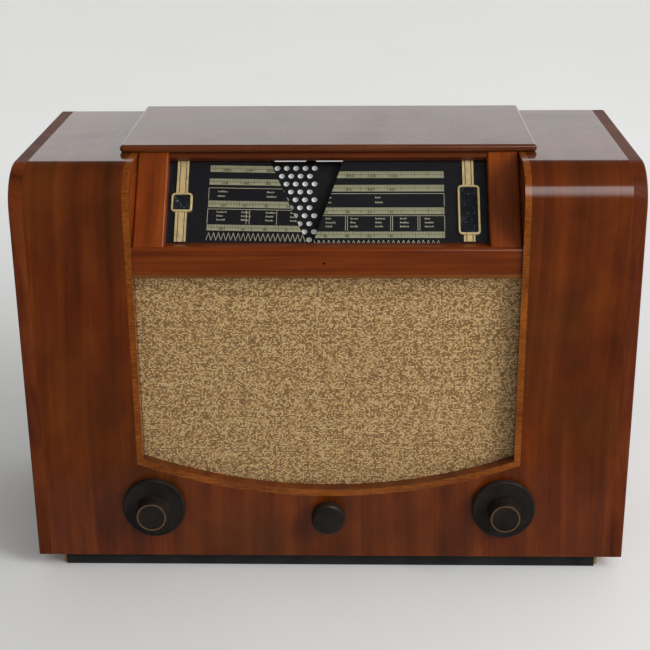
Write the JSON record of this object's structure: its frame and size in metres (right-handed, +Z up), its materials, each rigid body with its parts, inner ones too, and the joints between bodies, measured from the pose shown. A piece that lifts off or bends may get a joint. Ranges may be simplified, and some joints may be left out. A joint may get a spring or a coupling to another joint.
{
  "type": "tabletop valve radio",
  "caption": "Wide veneered wooden tabletop valve radio with a sloping glass dial under a lid, a cloth grille with a curved lower edge, dual knobs and a working tuning drive.",
  "frame": {"origin": "on the table, under the middle of the radio's overall box", "axes": "+X to the radio's right as seen from the front, +Y from the front to the back, +Z up"},
  "size_m": [0.54, 0.2694, 0.3855],
  "materials": {
    "walnut_veneer": "gloss",
    "side_veneer": "gloss",
    "lid_veneer": "gloss",
    "stained_mahogany": "satin",
    "rail_wood": "satin",
    "bead_wood": "satin",
    "inlay_wood": "gloss",
    "raw_plywood": "matt",
    "raw_batten": "matt",
    "black_paint": "satin",
    "hardboard": "matt",
    "woven_cloth": "matt",
    "printed_glass": "gloss",
    "window_glass": "gloss",
    "gilt_metal": "satin",
    "black_tinplate": "matt",
    "white_card": "matt",
    "bakelite": "gloss",
    "brass": "satin",
    "steel": "satin",
    "zinc_plate": "dull",
    "cadmium_chassis": "dull",
    "cast_alloy": "satin",
    "aluminium": "dull",
    "cord_fibre": "matt",
    "paxolin": "satin",
    "black_rubber": "matt",
    "clear_glass": "gloss",
    "nickel": "satin",
    "speaker_paper": "matt",
    "transformer_iron": "satin",
    "lamp_holder_steel": "dull",
    "pointer_paint": "satin"
  },
  "bodies": {
    "cabinet": {"front_panel": "walnut_veneer", "side_panels": "side_veneer", "top_lid": "lid_veneer", "base_board": "raw_plywood", "opening_inlay": "inlay_wood", "notch_walls": "stained_mahogany", "dial_surround": "stained_mahogany", "dial_rail": "rail_wood", "rail_bead": "bead_wood", "grille_cloth": "woven_cloth", "baffle_board": "raw_plywood", "plinth_battens": "raw_batten", "plinth_front": "black_paint", "rear_cover": "hardboard", "rear_cover_screws": "steel", "mains_gland": "black_rubber", "socket_strip": "paxolin", "dial_panes": "printed_glass", "escutcheons": "gilt_metal", "window_lenses": "window_glass", "dial_backplate": "black_tinplate", "diffuser_card": "white_card", "dial_lamps": "lamp_holder_steel", "pointer_rod": "steel", "pointer_cord": "cord_fibre", "drive_cord": "cord_fibre", "pulley_bar": "zinc_plate", "gang_frame": "aluminium", "wave_switch": "zinc_plate", "dual_control": "zinc_plate", "tuning_bearings": "brass", "chassis": "cadmium_chassis", "chassis_bolts": "steel", "valve_bases_and_sockets": "bakelite", "valve_glass": "clear_glass", "valve_electrodes": "nickel", "if_transformer_cans": "aluminium", "smoothing_capacitors": "aluminium", "mains_transformer": "transformer_iron", "speaker_frame": "zinc_plate", "speaker_magnet": "cast_alloy", "output_transformer": "transformer_iron"},
    "volume_control": {"volume_knob": "bakelite", "volume_ring": "brass", "volume_shaft": "steel"},
    "tone_control": {"tone_knob": "bakelite", "tone_sleeve": "brass"},
    "wave_control": {"wave_knob": "bakelite", "wave_shaft": "steel"},
    "fine_tuning": {"fine_tuning_knob": "bakelite", "fine_tuning_ring": "brass", "fine_tuning_shaft": "steel"},
    "fast_tuning": {"fast_tuning_knob": "bakelite", "fast_tuning_sleeve": "brass"},
    "gang_drive": {"tuning_drum": "cast_alloy", "gang_rotor": "aluminium"},
    "left_pulley": {"pulley_left": "brass"},
    "right_pulley": {"pulley_right": "brass"},
    "pointer": {"dial_pointer": "pointer_paint"},
    "cone": {"speaker_cone": "speaker_paper"}
  },
  "joints": [
    {"name": "volume_turn", "type": "hinge", "parent": "cabinet", "child": "volume_control", "pos_m": [-0.159, -0.11025, 0.0649], "axis": [0, 1, 0], "range_deg": [0, 300]},
    {"name": "tone_turn", "type": "hinge", "parent": "cabinet", "child": "tone_control", "pos_m": [-0.159, -0.11025, 0.0649], "axis": [0, 1, 0], "range_deg": [-140, 140]},
    {"name": "wave_turn", "type": "hinge", "parent": "cabinet", "child": "wave_control", "pos_m": [0, -0.11025, 0.057], "axis": [0, 1, 0], "range_deg": [0, 90]},
    {"name": "gang_turn", "type": "hinge", "parent": "cabinet", "child": "gang_drive", "pos_m": [0.15, -0.11025, 0.163], "axis": [0, 1, 0], "range_deg": [-180, 0]},
    {"name": "fast_tuning_turn", "type": "hinge", "parent": "cabinet", "child": "fast_tuning", "pos_m": [0.159, -0.11025, 0.0649], "axis": [0, 1, 0], "range_deg": [-811, 1]},
    {"name": "fine_tuning_turn", "type": "hinge", "parent": "cabinet", "child": "fine_tuning", "pos_m": [0.159, -0.11025, 0.0649], "axis": [0, 1, 0], "range_deg": [-4861, 1]},
    {"name": "left_pulley_turn", "type": "hinge", "parent": "cabinet", "child": "left_pulley", "pos_m": [-0.135, -0.01225, 0.335], "axis": [0, 1, 0], "range_deg": [-1477, 1]},
    {"name": "right_pulley_turn", "type": "hinge", "parent": "cabinet", "child": "right_pulley", "pos_m": [0.2076, -0.01225, 0.335], "axis": [0, 1, 0], "range_deg": [-1477, 1]},
    {"name": "pointer_slide", "type": "slide", "parent": "cabinet", "child": "pointer", "axis": [1, 0, 0], "range_m": [-0.2062, 0.0001]},
    {"name": "cone_slide", "type": "slide", "parent": "cabinet", "child": "cone", "axis": [0, 1, 0], "range_m": [-0.0008, 0.001], "stiffness_N_per_m": 1000}
  ],
  "couplings": [
    {"joint": "fast_tuning_turn", "follows": "gang_turn", "ratio": 4.5},
    {"joint": "fine_tuning_turn", "follows": "gang_turn", "ratio": 27},
    {"joint": "left_pulley_turn", "follows": "gang_turn", "ratio": 8.2},
    {"joint": "right_pulley_turn", "follows": "gang_turn", "ratio": 8.2},
    {"joint": "pointer_slide", "follows": "gang_turn", "m_per_rad": 0.0656}
  ]
}
